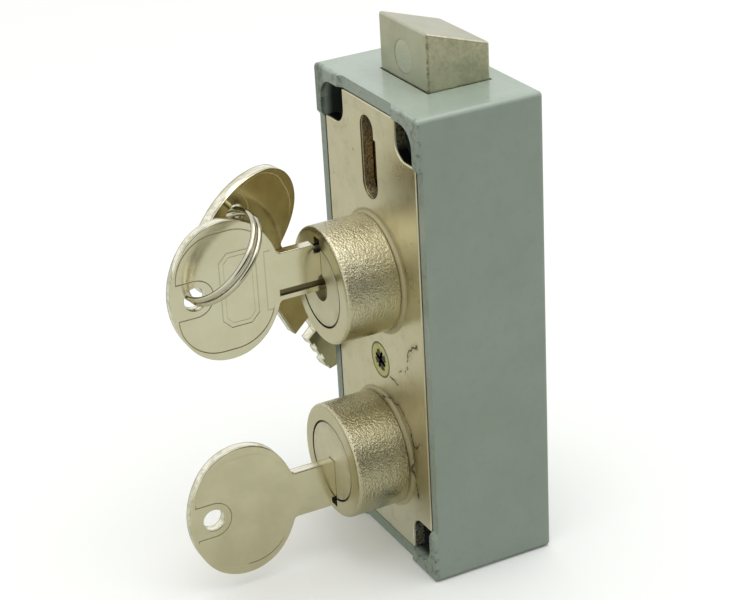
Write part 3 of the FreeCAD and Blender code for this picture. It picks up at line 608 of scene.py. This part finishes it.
FINISHES = {
    "case_paint": case_paint(),
    "cover_nickel": cover_nickel(),
    "plug_nickel": plug_nickel(),
    "bolt_nickel": bolt_nickel(),
    "ring_steel": plain_metal("ring_steel", rgb(206, 202, 184), rgb(192, 187, 164), 0.12, 0.01),
    "steel": plain_metal("steel", rgb(200, 198, 190), rgb(170, 168, 160), 0.3),
    "spring_steel": plain_metal("spring_steel", rgb(140, 142, 146), rgb(110, 112, 118), 0.3),
    "brass": plain_metal("brass", rgb(190, 150, 84), rgb(150, 112, 60), 0.38),
    "screw_yellow_zinc": zinc_screw(),
}
SLOTS = {part["node"]: part["material_slot"] for part in frame["record"]["subparts"]}

for name, obj in nodes.items():
    if name in KEYS:
        material = key_nickel(KEYS[name])
    elif name == "bolt_insert":
        material = plain_metal("insert_steel", rgb(204, 204, 186), rgb(194, 194, 174), 0.3)
    else:
        material = FINISHES[SLOTS[name]]
    obj.data.materials.clear()
    obj.data.materials.append(material)


def soften_edges(obj, width):
    """Small chamfer on the sharp edges, for the light line that a stamped edge shows."""
    weld = obj.modifiers.new("weld", "WELD")
    weld.merge_threshold = 0.002 * MM
    flat = obj.modifiers.new("flat", "DECIMATE")
    flat.decimate_type = "DISSOLVE"
    flat.angle_limit = math.radians(1)
    edge = obj.modifiers.new("edge", "BEVEL")
    edge.width = width
    edge.segments = 2
    edge.limit_method = "ANGLE"
    edge.angle_limit = math.radians(50)
    edge.use_clamp_overlap = True


for name in KEYS:
    soften_edges(nodes[name], KEY_EDGE)
soften_edges(nodes["lock_case"], CASE_EDGE)


def add_object(name, data):
    obj = bpy.data.objects.new(name, data)
    bpy.context.scene.collection.objects.link(obj)
    return obj


def bending_leaf(lock, number):
    """One leaf of a lever spring, the part of the springs beside its lever: its root stays in its block,
    and past its bend it is pressed down.
    """
    springs = lock + "_lever_springs"
    lever = f"{lock}_lever_{number}"
    low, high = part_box(lever)
    foot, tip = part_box(springs)
    bend = tip.z - LEAF_TIP
    shape = bmesh.new()
    shape.from_mesh(nodes[springs].data)
    bmesh.ops.remove_doubles(shape, verts=shape.verts, dist=0.001 * MM)
    others = [vert for vert in shape.verts if not low.y < vert.co.y < high.y]
    bmesh.ops.delete(shape, geom=others, context="VERTS")
    at_bend = [vert.co.x for vert in shape.verts if abs(vert.co.z - bend) < 0.35 * MM]
    at_tip = [vert.co.x for vert in shape.verts if vert.co.z > bend + 1 * MM]
    lean = sum(at_tip) / len(at_tip) - sum(at_bend) / len(at_bend)
    for vert in shape.verts:
        beyond = vert.co.z - bend
        if beyond > 0.01 * MM:
            vert.co.x -= (1 - TIP_SHARE) * lean * beyond / LEAF_TIP
            vert.co.z = bend + TIP_SHARE * beyond
    mesh = bpy.data.meshes.new(f"{lever}_leaf")
    shape.to_mesh(mesh)
    shape.free()
    mesh.materials.append(FINISHES["spring_steel"])
    leaf = add_object(mesh.name, mesh)
    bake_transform(leaf)
    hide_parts(springs)


for lock in ("renter", "guard"):
    for number in range(1, LEVER_COUNT + 1):
        bending_leaf(lock, number)


def make_floor():
    """Floor that looks white, is dimmer in reflections, and sends little light up."""
    mesh = bpy.data.meshes.new("floor")
    half = 2.5
    mesh.from_pydata(
        [(-half, -half, 0), (half, -half, 0), (half, half, 0), (-half, half, 0)], [], [(0, 1, 2, 3)]
    )
    floor = add_object("floor", mesh)
    finish = Finish("floor_white", Roughness=0.9)
    seen = finish.node("ShaderNodeLightPath", out="Is Camera Ray")
    mirrored = finish.node("ShaderNodeLightPath", out="Is Glossy Ray")
    color = finish.mix(mirrored, (0.14, 0.14, 0.13, 1), (0.66, 0.66, 0.60, 1))
    finish.set(Base_Color=finish.mix(seen, color, (1.0, 1.0, 1.0, 1)))
    mesh.materials.append(finish.material)


def make_world():
    """Even studio light. The camera, gloss and glass see plain white."""
    world = bpy.data.worlds.new("studio")
    bpy.context.scene.world = world
    world.use_nodes = True
    tree = world.node_tree
    tree.nodes.clear()
    rays = tree.nodes.new("ShaderNodeLightPath")
    seen = rays.outputs["Is Camera Ray"]
    for ray in ("Is Glossy Ray", "Is Transmission Ray"):
        larger = tree.nodes.new("ShaderNodeMath")
        larger.operation = "MAXIMUM"
        tree.links.new(seen, larger.inputs[0])
        tree.links.new(rays.outputs[ray], larger.inputs[1])
        seen = larger.outputs[0]
    either = tree.nodes.new("ShaderNodeMixShader")
    tree.links.new(seen, either.inputs[0])
    for place, (color, strength) in enumerate((((0.98, 1.0, 0.96, 1), 0.8), ((1, 1, 1, 1), 1.0)), 1):
        light = tree.nodes.new("ShaderNodeBackground")
        light.inputs["Color"].default_value = color
        light.inputs["Strength"].default_value = strength
        tree.links.new(light.outputs[0], either.inputs[place])
    output = tree.nodes.new("ShaderNodeOutputWorld")
    tree.links.new(either.outputs[0], output.inputs[0])


def dark_card(name, corners, shade):
    """Dark screen beside the lock that only its reflections show."""
    mesh = bpy.data.meshes.new(name)
    mesh.from_pydata(corners, [], [(0, 1, 2, 3)])
    card = add_object(name, mesh)
    finish = Finish(name, Roughness=1.0, Base_Color=(shade, shade, shade * 0.85, 1))
    mesh.materials.append(finish.material)
    card.visible_camera = False
    card.visible_shadow = False
    card.visible_diffuse = False


def soft_lamp(name, place, target, size, power):
    lamp = bpy.data.lights.new(name, "AREA")
    lamp.shape = "SQUARE"
    lamp.size = size
    lamp.energy = power
    obj = add_object(name, lamp)
    obj.location = place
    obj.rotation_euler = (Vector(target) - Vector(place)).to_track_quat("-Z", "Y").to_euler()


def make_camera():
    """Camera at the photograph's place, from its own right, up and back directions."""
    camera = bpy.data.cameras.new("camera")
    camera.lens = 95.155
    camera.sensor_width = 36.0
    camera.shift_x = 0.14215
    camera.shift_y = -0.02270
    camera.clip_start = 0.01
    right = Vector((0.425642, 0.901903, -0.073478))
    up = Vector((-0.350782, 0.239308, 0.905364))
    back = Vector((0.834134, -0.359586, 0.418231))
    turn = Matrix((right, up, back)).transposed().to_4x4()
    obj = add_object("camera", camera)
    obj.matrix_world = Matrix.Translation((0.336693, -0.183211, 0.237254)) @ turn
    bpy.context.scene.camera = obj


make_floor()
make_world()
dark_card(
    "right_card", [(0.5, -0.2, 0.005), (0.5, 0.6, 0.005), (0.5, 0.6, 0.42), (0.5, -0.2, 0.42)], 0.1
)
dark_card(
    "floor_card", [(0.34, -0.2, 0.003), (0.5, -0.2, 0.003), (0.5, 0.6, 0.003), (0.34, 0.6, 0.003)], 0.1
)
dark_card(
    "camera_card", [(0.9, -0.55, 0.15), (0.9, -0.15, 0.15), (0.9, -0.15, 0.62), (0.9, -0.55, 0.62)], 0.12
)
soft_lamp("top_softbox", (0.05, 0.1, 0.9), (0, 0, 0.05), 0.8, 3.0)
make_camera()
bpy.context.scene.view_settings.view_transform = "Standard"
